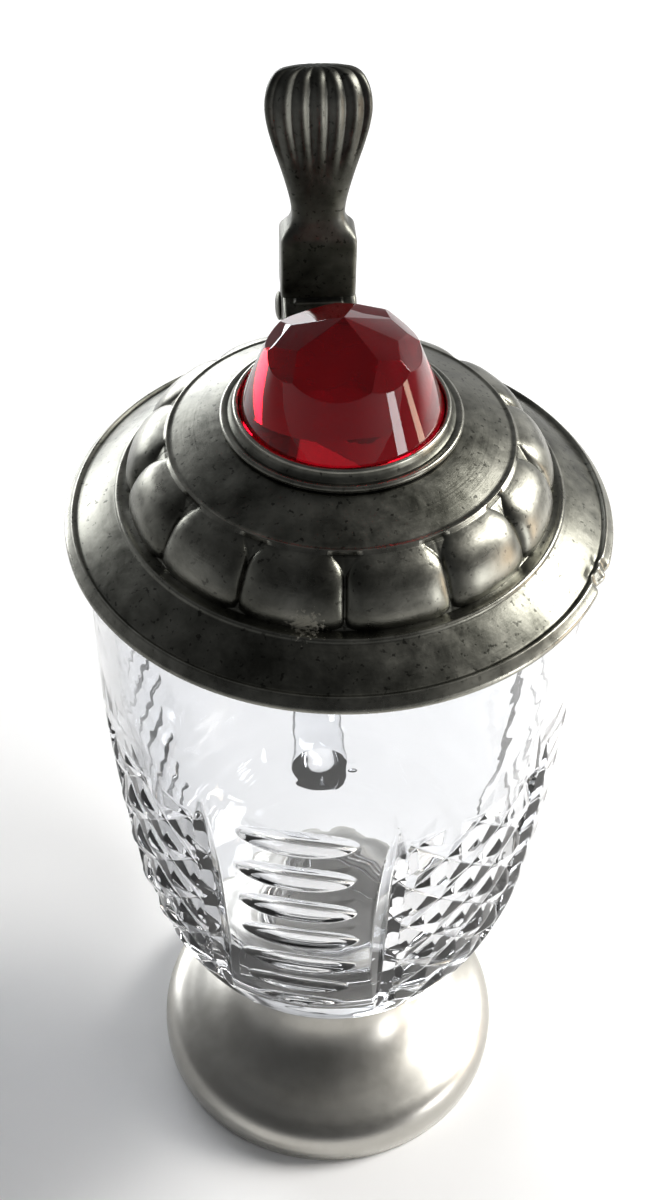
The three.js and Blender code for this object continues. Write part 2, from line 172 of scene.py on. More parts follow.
def skin(name, sections, material=None):
    """Closed sections (k, m, 3) skinned in order, both ends capped with a fan."""
    S = np.asarray(sections, float)
    k, m = S.shape[:2]
    co = S.reshape(-1, 3)
    I, J = np.meshgrid(np.arange(k - 1), np.arange(m), indexing="ij")
    J2 = (J + 1) % m
    quads = np.stack([I * m + J, I * m + J2, (I + 1) * m + J2, (I + 1) * m + J], -1).reshape(-1, 4)
    co = np.vstack([co, S[0].mean(0), S[-1].mean(0)])
    j = np.arange(m)
    t0 = np.stack([np.full(m, k * m), (j + 1) % m, j], 1)
    t1 = np.stack([np.full(m, k * m + 1), (k - 1) * m + j, (k - 1) * m + (j + 1) % m], 1)
    return build(name, co, quads, np.vstack([t0, t1]), material)


def rod_x(name, prof, y, z, segs=64):
    """Lathe whose (r, x) profile turns about an axis along X."""
    ob = lathe(name, prof, segs)
    co = np.empty(len(ob.data.vertices) * 3, np.float32)
    ob.data.vertices.foreach_get("co", co)
    co = co.reshape(-1, 3)
    new = np.stack([co[:, 2], co[:, 0] + y * MM, co[:, 1] + z * MM], 1)
    ob.data.vertices.foreach_set("co", new.astype(np.float32).ravel())
    ob.data.update()
    return ob


def bake(ob):
    dg = bpy.context.evaluated_depsgraph_get()
    me = bpy.data.meshes.new_from_object(ob.evaluated_get(dg))
    ob.modifiers.clear()
    old = ob.data
    ob.data = me
    bpy.data.meshes.remove(old)
    me.name = ob.name
    return ob


def boolean(ob, other, op):
    m = ob.modifiers.new("bool", "BOOLEAN")
    m.operation = op
    m.solver = "MANIFOLD"
    m.object = other
    bake(ob)
    bpy.data.objects.remove(other)
    return ob


def merge(name, obs):
    """One mesh from several overlapping closed shells."""
    bm = bmesh.new()
    for o in obs:
        bm.from_mesh(o.data)
        bpy.data.objects.remove(o)
    me = bpy.data.meshes.new(name)
    bm.to_mesh(me)
    bm.free()
    ob = bpy.data.objects.new(name, me)
    bpy.context.scene.collection.objects.link(ob)
    return ob


def cast(ob, voxel=0.17, smooth=6, factor=0.5):
    """Voxel remesh and a light smoothing, which gives the soft edges of a casting."""
    m = ob.modifiers.new("remesh", "REMESH")
    m.mode = "VOXEL"
    m.voxel_size = voxel * MM
    m.use_smooth_shade = True
    s = ob.modifiers.new("smooth", "SMOOTH")
    s.factor = factor
    s.iterations = smooth
    return bake(ob)


def soften(ob, angle=30):
    me = ob.data
    me.polygons.foreach_set("use_smooth", np.full(len(me.polygons), True))
    me.set_sharp_from_angle(angle=angle * DEG)
    return ob


# per-vertex mask that brightens the pewter: real edge wear plus a painted highlight on raised rings and crests
def wear_and_highlight(ob, fn):
    me = ob.data
    co = np.empty(len(me.vertices) * 3, np.float32)
    me.vertices.foreach_get("co", co)
    co = co.reshape(-1, 3) / MM
    a = me.attributes.get("wear_and_highlight") or me.attributes.new("wear_and_highlight", "FLOAT", "POINT")
    a.data.foreach_set("value", np.clip(fn(co), 0, 1).astype(np.float32))


# ------------------------------------------------------------------ materials
def nodes_of(name):
    mat = bpy.data.materials.new(name)
    mat.use_nodes = True
    nt = mat.node_tree
    nt.nodes.clear()
    return mat, nt


def add(nt, kind, **values):
    n = nt.nodes.new(kind)
    for k, v in values.items():
        if k in n.inputs:
            n.inputs[k].default_value = v
        else:
            setattr(n, k, v)
    return n


def noise(nt, vec, scale, detail=4.0, rough=0.55, distortion=0.0):
    n = add(nt, "ShaderNodeTexNoise")
    n.inputs["Scale"].default_value = scale
    n.inputs["Detail"].default_value = detail
    n.inputs["Roughness"].default_value = rough
    n.inputs["Distortion"].default_value = distortion
    nt.links.new(vec, n.inputs["Vector"])
    return n.outputs["Fac"]


def ramp(nt, fac, stops):
    r = add(nt, "ShaderNodeValToRGB")
    e = r.color_ramp.elements
    while len(e) < len(stops):
        e.new(0.5)
    for s, (pos, col) in zip(e, stops):
        s.position = pos
        c = col if hasattr(col, "__len__") else (col, col, col)
        s.color = (*c[:3], 1)
    nt.links.new(fac, r.inputs["Fac"])
    return r.outputs["Color"]


def math_node(nt, op, a, b=None, c=None):
    n = add(nt, "ShaderNodeMath", operation=op)
    for i, v in enumerate((a, b, c)):
        if v is None:
            continue
        if isinstance(v, (int, float)):
            n.inputs[i].default_value = v
        else:
            nt.links.new(v, n.inputs[i])
    return n.outputs[0]


def mix_rgb(nt, fac, a, b, mode="MIX"):
    n = add(nt, "ShaderNodeMix", data_type="RGBA", blend_type=mode)
    for key, v in ((0, fac), (6, a), (7, b)):
        if hasattr(v, "links") or hasattr(v, "is_linked"):
            nt.links.new(v, n.inputs[key])
        elif isinstance(v, (int, float)):
            n.inputs[key].default_value = v
        else:
            n.inputs[key].default_value = (*v[:3], 1)
    return n.outputs[2]


def pewter(name, dark, mid, bright, rough=0.42, turned=0.0, pits=1.0, scale=1.0, crust=None, bump=0.25, vary=0.30):
    mat, nt = nodes_of(name)
    tc = add(nt, "ShaderNodeTexCoord")
    vec = tc.outputs["Object"]
    big = noise(nt, vec, 55 * scale, 5, 0.6, 0.6)
    mid_n = noise(nt, vec, 230 * scale, 5, 0.62, 0.3)
    fine = noise(nt, vec, 1300 * scale, 3, 0.6)
    f = math_node(nt, "ADD", math_node(nt, "MULTIPLY", big, 0.62), math_node(nt, "MULTIPLY", mid_n, 0.38))
    base = ramp(nt, f, [(0.38, dark), (0.52, mid), (0.70, [0.65 * m + 0.35 * b for m, b in zip(mid, bright)])])
    # dark pits and stains
    spots = noise(nt, vec, 950 * scale, 2, 0.5)
    pit = ramp(nt, spots, [(0.625, 0.0), (0.70, 1.0)])
    base = mix_rgb(nt, math_node(nt, "MULTIPLY", pit, 0.75 * pits), base, [d * 0.35 for d in dark])
    # worn, brighter metal on the edges and raised rings: partly real wear, partly a painted highlight
    at = add(nt, "ShaderNodeAttribute", attribute_name="wear_and_highlight")
    w = math_node(nt, "MULTIPLY", at.outputs["Fac"], math_node(nt, "ADD", math_node(nt, "MULTIPLY", mid_n, 1.3), 0.05))
    w = math_node(nt, "MINIMUM", w, 1.0)
    base = mix_rgb(nt, w, base, bright)
    rg = math_node(nt, "ADD", math_node(nt, "MULTIPLY", mid_n, vary), rough - 0.5 * vary)
    rg = math_node(nt, "ADD", rg, math_node(nt, "MULTIPLY", fine, 0.08))
    rg = math_node(nt, "SUBTRACT", rg, math_node(nt, "MULTIPLY", w, 0.12))
    height = math_node(nt, "ADD", math_node(nt, "MULTIPLY", fine, 0.35), math_node(nt, "MULTIPLY", mid_n, 0.65))
    height = math_node(nt, "SUBTRACT", height, math_node(nt, "MULTIPLY", pit, 0.12 * pits))
    if turned:
        sep = add(nt, "ShaderNodeSeparateXYZ")
        nt.links.new(vec, sep.inputs[0])
        rr = math_node(nt, "SQRT", math_node(nt, "ADD", math_node(nt, "MULTIPLY", sep.outputs[0], sep.outputs[0]),
                                             math_node(nt, "MULTIPLY", sep.outputs[1], sep.outputs[1])))
        comb = add(nt, "ShaderNodeCombineXYZ")
        nt.links.new(math_node(nt, "MULTIPLY", rr, 1.0), comb.inputs[0])
        nt.links.new(math_node(nt, "MULTIPLY", sep.outputs[2], 1.0), comb.inputs[2])
        rings = noise(nt, comb.outputs[0], 2400, 2, 0.7)
        height = math_node(nt, "ADD", height, math_node(nt, "MULTIPLY", rings, turned))
        rg = math_node(nt, "ADD", rg, math_node(nt, "MULTIPLY", math_node(nt, "SUBTRACT", rings, 0.5), 0.12 * turned))
    bs = add(nt, "ShaderNodeBsdfPrincipled")
    metal = 1.0
    if crust:
        (cx, cy, cz), size, colour = crust
        d = add(nt, "ShaderNodeVectorMath", operation="DISTANCE")
        nt.links.new(vec, d.inputs[0])
        d.inputs[1].default_value = (cx * MM, cy * MM, cz * MM)
        wob = math_node(nt, "ADD", d.outputs["Value"], math_node(nt, "MULTIPLY", math_node(nt, "SUBTRACT", fine, 0.5), 0.010))
        wob = math_node(nt, "ADD", wob, math_node(nt, "MULTIPLY", math_node(nt, "SUBTRACT", mid_n, 0.5), 0.008))
        m = ramp(nt, math_node(nt, "DIVIDE", wob, size * MM), [(0.72, 1.0), (1.0, 0.0)])
        base = mix_rgb(nt, math_node(nt, "MULTIPLY", m, 0.8), base, colour)
        rg = math_node(nt, "MAXIMUM", rg, math_node(nt, "MULTIPLY", m, 0.8))
        nt.links.new(math_node(nt, "SUBTRACT", 1.0, math_node(nt, "MULTIPLY", m, 0.8)), bs.inputs["Metallic"])
    else:
        bs.inputs["Metallic"].default_value = metal
    nt.links.new(base, bs.inputs["Base Color"])
    nt.links.new(rg, bs.inputs["Roughness"])
    bp = add(nt, "ShaderNodeBump")
    bp.inputs["Strength"].default_value = bump
    bp.inputs["Distance"].default_value = 0.00025
    nt.links.new(height, bp.inputs["Height"])
    nt.links.new(bp.outputs["Normal"], bs.inputs["Normal"])
    out = add(nt, "ShaderNodeOutputMaterial")
    nt.links.new(bs.outputs[0], out.inputs["Surface"])
    return mat


def glass(name, colour, rough=0.0, ior=1.52, waves=0.0, deep=None, clear=1.0):
    mat, nt = nodes_of(name)
    bs = add(nt, "ShaderNodeBsdfPrincipled")
    bs.inputs["Transmission Weight"].default_value = clear
    bs.inputs["IOR"].default_value = ior
    tc = add(nt, "ShaderNodeTexCoord")
    vec = tc.outputs["Object"]
    n1 = noise(nt, vec, 90, 2, 0.5)
    n2 = noise(nt, vec, 700, 3, 0.6)
    if deep:
        nt.links.new(mix_rgb(nt, ramp(nt, n1, [(0.35, 0.0), (0.65, 1.0)]), deep, colour), bs.inputs["Base Color"])
    else:
        nt.links.new(mix_rgb(nt, n1, [c * 0.985 for c in colour], colour), bs.inputs["Base Color"])
    # faint scuffs in the polish
    nt.links.new(math_node(nt, "ADD", math_node(nt, "MULTIPLY", ramp(nt, n2, [(0.58, 0.0), (0.75, 1.0)]), 0.03), rough), bs.inputs["Roughness"])
    if waves:
        bp = add(nt, "ShaderNodeBump")
        bp.inputs["Strength"].default_value = waves
        bp.inputs["Distance"].default_value = 0.0006
        nt.links.new(n1, bp.inputs["Height"])
        nt.links.new(bp.outputs["Normal"], bs.inputs["Normal"])
    out = add(nt, "ShaderNodeOutputMaterial")
    nt.links.new(bs.outputs[0], out.inputs["Surface"])
    return mat


def matt(name, a, b, rough, scale, bump=0.3):
    mat, nt = nodes_of(name)
    tc = add(nt, "ShaderNodeTexCoord")
    n = noise(nt, tc.outputs["Object"], scale, 5, 0.6)
    bs = add(nt, "ShaderNodeBsdfPrincipled")
    nt.links.new(mix_rgb(nt, n, a, b), bs.inputs["Base Color"])
    bs.inputs["Roughness"].default_value = rough
    bp = add(nt, "ShaderNodeBump")
    bp.inputs["Strength"].default_value = bump
    bp.inputs["Distance"].default_value = 0.0002
    nt.links.new(n, bp.inputs["Height"])
    nt.links.new(bp.outputs["Normal"], bs.inputs["Normal"])
    out = add(nt, "ShaderNodeOutputMaterial")
    nt.links.new(bs.outputs[0], out.inputs["Surface"])
    return mat


DARK, MID, BRIGHT = (0.070, 0.070, 0.058), (0.155, 0.154, 0.132), (0.50, 0.49, 0.43)
CRUST = ((37.6 * math.sin(-14 * DEG), -37.6 * math.cos(-14 * DEG), 178.4), 2.6, (0.42, 0.40, 0.33))
M_LID = pewter("pewter_lid", DARK, MID, BRIGHT, 0.30, turned=0.4, crust=CRUST, bump=0.20)
M_PEWTER = pewter("pewter_fittings", DARK, MID, BRIGHT, 0.36, bump=0.25)
M_LIFT = pewter("pewter_thumblift", (0.042, 0.042, 0.036), (0.098, 0.098, 0.086), (0.34, 0.335, 0.30), 0.36, bump=0.22)
M_FOOT = pewter("pewter_foot", (0.47, 0.455, 0.415), (0.54, 0.525, 0.485), (0.70, 0.69, 0.65), 0.30, turned=0.30, pits=0.0, scale=0.5, bump=0.05, vary=0.08)
M_GLASS = glass("clear_glass", (0.925, 0.935, 0.955), waves=0.12)
M_RUBY = glass("ruby_glass", (0.52, 0.0035, 0.013), 0.01, 1.54, deep=(0.38, 0.002, 0.008), clear=0.87)
M_PLASTER = matt("plaster", (0.62, 0.59, 0.52), (0.76, 0.73, 0.66), 0.9, 300)
M_BED = matt("aged_plaster", (0.20, 0.18, 0.16), (0.42, 0.38, 0.34), 0.85, 420)
M_STEEL = pewter("pin_steel", (0.34, 0.34, 0.34), (0.45, 0.45, 0.44), (0.6, 0.6, 0.6), 0.3, pits=0.2)

# ------------------------------------------------------------------ glass body
go = catmull([(r, z) for z, r in GLASS], 10)
gz = np.concatenate([np.arange(36.3, 58.0, 0.5), np.arange(58.0, 137.0, 0.28), np.arange(137.0, 167.2, 0.9), [167.2]])
gr = np.interp(gz, go[:, 1], go[:, 0])
outer = np.stack([gr, gz], 1)
rim = chain(arc(BODY_R - 1.8, 167.2, 1.8, 0, 90, 12), arc(BODY_R - WALL + 1.5, 167.5, 1.5, 90, 180, 12))
inner = catmull([(r, z) for z, r in CAVITY], 6)
stub = chain([(0, 15.0), (8, 15.0), (15.2, 15.0)], arc(15.3, 15.5, 0.5, -90, 0, 5), [(15.8, 18.2)], catmull([(15.8, 18.3), (15.2, 19.4), (14.55, 20.4), (14.5, 22)], 5),
             [(14.5, 30), (14.5, 35.2)], catmull([(14.5, 35.3), (14.7, 35.9), (15.2, 36.2)], 4))
glass_profile = chain(stub, outer, rim, inner)


def wrap(a):
    return (a + 180.0) % 360.0 - 180.0


def cuts(A, R, Z, body):
    D = np.zeros_like(R)
    band = (Z > 58) & (Z < 137) & (R > 36)
    out = np.zeros(len(body), bool)
    out[len(stub):len(stub) + len(outer)] = True
    for q in (0, 1, 3):
        c = LADDER_AZ + 90 * q
        for i, (z0, L, h) in enumerate(LENSES):
            # hand-cut: small differences from cut to cut
            jz = 0.25 * math.sin(7.1 * i + 3.3 * q)
            ja = 0.5 * math.sin(4.7 * i + 1.9 * q)
            s = wrap(A - c - ja) * DEG * R
            v = (Z - z0 - jz - 0.012 * s * math.sin(2.3 * i + q)) / h
            u = np.abs(s / L)
            depth = 1.3
            d = depth * (1 - u ** 2.4) - depth * np.abs(v) ** 1.9
            D = np.maximum(D, d)
        for sg in (-1, 1):
            if abs(wrap(c + sg * SPLIT_AZ)) > 110:
                continue
            s = wrap(A - c - sg * SPLIT_AZ) * DEG * R
            g = 1 - np.abs((Z - 99.0) / 36.5) ** 2.6
            w = 3.5 * R / 46.0
            d = 2.1 * g - np.abs(s) * (2.1 / w)
            D = np.maximum(D, d)
    for c in (LADDER_AZ + 45, LADDER_AZ - 45):
        a = wrap(A - c)
        s = a * DEG * 46.0
        inside = np.clip((19.2 - np.abs(a)) / 0.5, 0, 1)
        top = 133.5 - 3.4 * np.abs(np.sin(s * math.pi / 13.4))
        taper = np.clip((top - Z) / 6.0, 0, 1) * np.clip((Z - 61.5) / 7.0, 0, 1) * inside
        for sg in (-1, 1):
            t = s / 13.4 + sg * (Z - 98.0) / 13.6
            perp = 1.0 / math.hypot(1 / 13.4, 1 / 13.6)
            dist = np.abs(t - np.round(t)) * perp
            d = 1.2 * taper - dist * (1.2 / 3.9)
            D = np.maximum(D, d)
    D = np.where(band & out[:, None], np.maximum(D, 0), 0)
    return R - D, Z


body = lathe("glass_vessel", glass_profile, 900, cuts)

# ------------------------------------------------------------------ handle
PATH = catmull([(0, 40, 143.5), (0, 50, 147.6), (0, 60, 148.6), (0, 70.5, 146.2), (0, 79.8, 139.6), (0, 85.8, 129), (0, 87.9, 115),
                (0, 86.8, 101), (0, 83.2, 88), (0, 77.0, 76.5), (0, 68.5, 66.5), (0, 58.5, 59.0), (0, 48.5, 54.8), (0, 39.5, 54.4), (0, 31, 58)], 40)
arcl = np.concatenate([[0], np.cumsum(np.linalg.norm(np.diff(PATH, axis=0), axis=1))])


def path_at(u):
    s = np.asarray(u) * arcl[-1]
    p = np.stack([np.interp(s, arcl, PATH[:, i]) for i in range(3)], -1)
    e = 0.4
    q = np.stack([np.interp(np.clip(s + e, 0, arcl[-1]), arcl, PATH[:, i]) - np.interp(np.clip(s - e, 0, arcl[-1]), arcl, PATH[:, i]) for i in range(3)], -1)
    t = q / np.linalg.norm(q, axis=-1, keepdims=True)
    return p, t


def tube(name, grow=0.0, u0=0.0, u1=1.0, steps=180, sides=56, lip=0.0):
    u = np.linspace(u0, u1, steps)
    p, t = path_at(u)
    n = np.stack([np.zeros(steps), t[:, 2], -t[:, 1]], -1)
    swell = 1 + 0.20 * np.exp(-(u / 0.085) ** 2) + 0.20 * np.exp(-((1 - u) / 0.085) ** 2)
    a = np.arange(sides) / sides * 2 * math.pi
    edge = np.minimum(u - u0, u1 - u) * arcl[-1]
    g = grow - lip * (1 - np.sqrt(np.clip(1 - (1 - np.clip(edge / max(lip, 1e-6), 0, 1)) ** 2, 0, 1))) if lip else np.full(steps, grow)
    ca = np.sign(np.cos(a)) * np.abs(np.cos(a)) ** 0.92
    sa = np.sign(np.sin(a)) * np.abs(np.sin(a)) ** 0.92
    X = (HX * swell + g)[:, None] * ca
    N = (HT * swell + g)[:, None] * sa
    S = p[:, None, :] + N[..., None] * n[:, None, :]
    S[..., 0] += X
    return skin(name, S)


handle = tube("handle")
core = lathe("core", chain([(0, 46)], [(20, 46)], np.stack([np.interp(np.arange(48, 168, 2.0), go[:, 1], go[:, 0]) - 2.4, np.arange(48, 168, 2.0)], 1), [(0, 168)]), 180)
boolean(handle, core, "DIFFERENCE")
boolean(body, handle, "UNION")
# a small gas bubble in the front wall
ba = -1.4 * DEG
bub = lathe("bubble", chain([(0, -0.48)], arc(0, 0, 0.48, -75, 75, 11), [(0, 0.48)]), 24)
bub.data.transform(Matrix.Translation((44.8 * math.sin(ba) * MM, -44.8 * math.cos(ba) * MM, 150.6 * MM)) @ Matrix.Rotation(ba, 4, "Z") @ Matrix.Diagonal((1.65, 1.0, 1.0, 1.0)))
boolean(body, bub, "DIFFERENCE")
soften(body, 40)
body.data.materials.clear()
body.data.materials.append(M_GLASS)
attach(body, "stein")
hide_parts("glass_body", "glass_handle")

# ------------------------------------------------------------------ foot
foot_out = chain([(39.9, 0.0)], arc(40.3, 0.5, 0.5, -90, 0, 5), [(40.8, 1.4), (40.8, 3.0)],
                 catmull([(40.8, 3.5), (40.4, 6.0), (39.2, 8.2), (37.2, 9.7), (34.0, 10.9), (30.0, 12.2), (26.0, 14.0), (22.2, 16.8), (19.4, 20.5), (17.7, 25.0),
                          (16.9, 29.8), (16.75, 32.2)], 12),
                 arc(16.75, 34.4, 0.35, -70, 80, 6), arc(16.25, 35.55, 0.45, 0, 90, 6))
foot_in = chain([(15.0, 36.0), (14.9, 35.6), (14.9, 29.5), (15.5, 28.6)],
                catmull([(16.2, 25), (17.9, 20.2), (21.0, 15.7), (25.2, 12.6), (29.5, 10.7), (33.5, 9.4), (36.4, 8.4), (37.8, 7.4), (38.8, 5.8), (39.3, 3.2)], 6), [(39.1, 0.3), (39.4, 0.0)])
foot = lathe("foot", chain(foot_out, foot_in), 320, material=M_FOOT)
# brighter bands on the rounded base edge and the top bead: partly real wear, partly a painted highlight along the
# rounding
wear_and_highlight(foot, lambda c: np.where(c[:, 2] < 20, 0.9 * np.exp(-((c[:, 2] - 1.6) / 1.6) ** 2), 0.8 * np.exp(-((c[:, 2] - 35.4) / 0.9) ** 2)))
soften(foot, 45)
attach(foot, "stein")
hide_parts("foot_shell")

disc = lathe("foot_disc", chain([(0, 0.6), (20, 0.55), (24, 0.35), (36, 0.3), (37.6, 0.0), (38.4, 0.0), (38.7, 0.3), (38.7, 1.6), (0, 1.6)]), 240, material=M_FOOT)
soften(disc, 30)
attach(disc, "stein")
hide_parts("foot_base_disc")

plaster = lathe("foot_bed", chain([(0, 1.9), (20, 1.9), (38.2, 1.9), (38.3, 5.3)],
                                   catmull([(38.2, 5.5), (37.3, 6.9), (36.0, 7.8), (33.2, 8.8), (29.2, 10.1), (24.9, 12.0), (20.6, 15.1), (17.45, 19.8), (15.9, 24.5)], 5),
                                   [(15.8, 24.8), (14.8, 24.8), (14.8, 20.4), (15.4, 19.5), (16.1, 18.5), (16.1, 15.4), (15.6, 14.75), (0, 14.7)]), 160, material=M_PLASTER)
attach(plaster, "stein")
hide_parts("foot_plaster")

# ------------------------------------------------------------------ lid
lid_top = chain(
    [(43.6, 169.35), (46, 169.3), (48.9, 169.3)], arc(49.1, 170.1, 0.85, -80, 62, 14),
    arc(48.35, 171.72, 0.42, 40, 140, 7), arc(47.6, 172.15, 0.35, -40, -130, 5),
    catmull([(47.2, 172.0), (45.8, 173.05), (43.6, 174.6), (41.6, 175.8), (40.6, 176.3)], 8),
    arc(39.9, 176.35, 0.62, 15, 110, 8), [(39.2, 176.75), (38.6, 176.8)],
    catmull([(38.3, 177.0), (38.35, 178.6), (37.75, 181.0), (36.3, 183.6), (34.4, 185.7), (32.5, 187.0), (31.3, 187.5)], 12),
    arc(30.5, 187.5, 0.6, 60, 110, 6), catmull([(30.0, 188.0), (27, 189.35), (24, 190.6), (22.4, 191.2), (21.2, 191.6)], 8),
    [(14.2, 191.7)])
lid_under = chain([(14.2, 189.7)], catmull([(24.4, 188.3), (28.8, 185.6), (30.8, 183.9), (32.6, 181.9), (34.1, 179.6), (34.9, 177.6), (35.6, 175.6)], 6),
                  catmull([(38.4, 175.1), (40.6, 174.4), (41.3, 173.6)], 4), [(41.3, 167.0), (41.5, 166.6), (41.8, 166.6), (42.0, 167.0), (42.0, 170.6), (43.2, 170.7)])
lid_profile = chain(lid_top, lid_under)
LOBE_Z0, LOBE_Z1 = 177.0, 187.3


def gadroons(A, R, Z, body):
    top = (np.arange(len(body)) < len(lid_top))[:, None]
    t = np.clip((Z - LOBE_Z0) / (LOBE_Z1 - LOBE_Z0), 0, 1)
    on = top & (R > 31.0) & (R < 38.6) & (Z > 176.95)
    az = (A - LOBE_AZ - 0.8 * np.sin(3 * A * DEG)) * (LOBES / 360.0)
    x = 1 - np.abs(az - np.round(az)) * 2                    # 0 on a lobe's crest, 1 at a seam
    y = np.abs(2 * t - 1)
    bulge = np.clip(1 - x ** 3.3 - 0.62 * y ** 4.5, 0, 1) ** 0.5
    seam = np.exp(-((1 - x) / 0.035) ** 2)
    ends = 0.25 + 0.75 * np.sin(math.pi * np.clip(t * 0.98 + 0.01, 0, 1)) ** 0.5
    dip = (2.05 * (1 - bulge) + 0.12 * seam) * ends - 0.22 * bulge
    nr, nz = 0.80, 0.60
    R2 = np.where(on, R - dip * nr, R)
    Z2 = np.where(on, Z - dip * nz, Z)
    # knock in the rim, and a rim that is a little out of true
    edge = top & (R > 46.5)
    knock = np.exp(-((wrap(A - 62.5)) / 1.5) ** 2) + 0.55 * np.exp(-((wrap(A - 67.0)) / 1.1) ** 2)
    k = np.clip((R2 - 46.5) / 3.5, 0, 1) * knock
    R2 = np.where(edge, R2 - 1.1 * k, R2)
    Z2 = np.where(edge & (Z > 169.8), Z2 - 0.9 * k, Z2)
    warp = 0.06 * np.sin(2 * A * DEG + 0.6) + 0.04 * np.sin(5 * A * DEG)
    Z2 = np.where(top & (R > 40) & (Z > 170.6), Z2 + warp * np.clip((R - 40) / 8, 0, 1), Z2)
    return R2, Z2


lid = lathe("lid", lid_profile, 1170, gadroons, M_LID)


# brighter beads, ring and lobe crests: partly real wear, partly a painted highlight; the rubbed metal at the knock in
# the rim is wear
def lid_wear_and_highlight(c):
    r = np.hypot(c[:, 0], c[:, 1])
    z = c[:, 2]
    az = np.degrees(np.arctan2(c[:, 0], -c[:, 1]))
    w = 0.75 * np.exp(-((r - 49.7) / 0.35) ** 2) * (z > 169.4)
    w = np.maximum(w, 0.55 * np.exp(-((r - 48.35) / 0.35) ** 2) * (z > 171.6))
    w = np.maximum(w, 0.55 * np.exp(-((r - 39.9) / 0.4) ** 2) * (z > 176.5))
    w = np.maximum(w, 0.5 * np.exp(-((r - 30.9) / 0.5) ** 2) * (z > 187.3))
    az2 = (az - LOBE_AZ) * (LOBES / 360.0)
    f = np.abs(az2 - np.round(az2)) * 2
    lobe = (r > 31.2) & (r < 38.6) & (z > 177.1)
    w = np.maximum(w, np.where(lobe, 0.45 * f ** 1.5, 0))
    w = np.maximum(w, np.exp(-(((az - 64) / 4.0) ** 2)) * np.clip((r - 47.5) / 2.0, 0, 1))
    return w


wear_and_highlight(lid, lid_wear_and_highlight)
soften(lid, 50)
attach(lid, "lid")
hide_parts("lid_shell")

bezel = lathe("bezel", chain([(18.0, 192.05), (21.0, 192.05)], arc(20.7, 192.65, 0.6, -60, 95, 10), arc(19.9, 193.35, 0.25, -60, -150, 4),
                            catmull([(19.5, 193.4), (19.15, 193.9), (18.95, 194.5)], 6), arc(18.5, 194.6, 0.45, 0, 180, 14), [(18.05, 194.2)]), 360, material=M_LID)
# brighter top bead and outer ring: partly real wear, partly a painted highlight
wear_and_highlight(bezel, lambda c: np.where(c[:, 2] > 194.4, 1.0, 0.0) + 0.7 * np.exp(-((np.hypot(c[:, 0], c[:, 1]) - 20.8) / 0.4) ** 2))
soften(bezel, 50)
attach(bezel, "lid")
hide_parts("lid_bezel")

bed = lathe("inlay_bedding", chain([(0, 190.0), (13.7, 190.0), (13.9, 190.2), (13.9, 191.9), (17.5, 192.0), (17.6, 192.2), (17.6, 192.8), (0, 192.9)]), 128, material=M_BED)
soften(bed, 30)
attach(bed, "lid")
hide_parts("inlay_bed")

# ------------------------------------------------------------------ ruby inlay
CROWN = [-104, -56, -10, 39, 80, 120, 168, -148]
RIDGE = [-104, -56, 39, 80, 120, 168]
PEAK_R, PEAK_Z = 9.2, 208.9


def polar(r, az_cam, z):
    a = (az_cam - 5.5) * DEG
    return Vector((r * math.sin(a), -r * math.cos(a), z))


bm = bmesh.new()
ring_rows = []
cone = chain([(17.6, 193.2), (17.75, 193.4), (17.75, 194.7)], [(12.8, 206.8), (9.2, 216.0)])
seg = 192
for r, z in cone:
    ring_rows.append([bm.verts.new((r * math.sin(i / seg * 2 * math.pi), -r * math.cos(i / seg * 2 * math.pi), z)) for i in range(seg)])
for a, b in zip(ring_rows, ring_rows[1:]):
    for i in range(seg):
        bm.faces.new((a[i], a[(i + 1) % seg], b[(i + 1) % seg], b[i]))
bm.faces.new(list(reversed(ring_rows[0])))
bm.faces.new(ring_rows[-1])
bmesh.ops.recalc_face_normals(bm, faces=bm.faces[:])
planes = []
apex = Vector((0, 0, 212.3))
for i, a in enumerate(RIDGE):
    b = RIDGE[(i + 1) % len(RIDGE)]
    planes.append((apex, polar(PEAK_R, a, PEAK_Z), polar(PEAK_R, b, PEAK_Z)))
for a in CROWN:
    peak = polar(PEAK_R, a, PEAK_Z)
    planes.append((peak, peak + polar(1, a + 90, 0), polar(13.2, a, 205.5)))
for a, b, c in planes:
    n = (b - a).cross(c - a).normalized()
    if n.z < 0:
        n.negate()
    res = bmesh.ops.bisect_plane(bm, geom=bm.verts[:] + bm.edges[:] + bm.faces[:], dist=1e-5, plane_co=a, plane_no=n, clear_outer=True)
    cut = [e for e in res["geom_cut"] if isinstance(e, bmesh.types.BMEdge)]
    if cut:
        bmesh.ops.contextual_create(bm, geom=cut)
bmesh.ops.remove_doubles(bm, verts=bm.verts[:], dist=1e-4)
bmesh.ops.recalc_face_normals(bm, faces=bm.faces[:])
for v in bm.verts:
    v.co *= MM
me = bpy.data.meshes.new("ruby")
bm.to_mesh(me)
bm.free()
ruby = bpy.data.objects.new("ruby_inlay", me)
bpy.context.scene.collection.objects.link(ruby)
bv = ruby.modifiers.new("bevel", "BEVEL")
bv.width = 0.14 * MM
bv.segments = 2
bv.limit_method = "ANGLE"
bv.angle_limit = 9 * DEG
bake(ruby)
me = ruby.data
me.materials.append(M_RUBY)
soften(ruby, 6.5)
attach(ruby, "lid")
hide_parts("lid_inlay")


# ------------------------------------------------------------------ hinge
def knuckle(i, r=RING_R):
    x0, x1 = RING_X[i]
    return rod_x("k", chain([(0, x0)], [(r - 0.5, x0)], arc(r - 0.5, x0 + 0.5, 0.5, -90, 0, 5), arc(r - 0.5, x1 - 0.5, 0.5, 0, 90, 5), [(0, x1)]), PIN_Y, PIN_Z, 72)


def clear(i, r=RING_R + 0.35):
    x0, x1 = RING_X[i]
    return rod_x("c", [(0, x0 - RING_GAP), (r, x0 - RING_GAP), (r, x1 + RING_GAP), (0, x1 + RING_GAP)], PIN_Y, PIN_Z, 96)


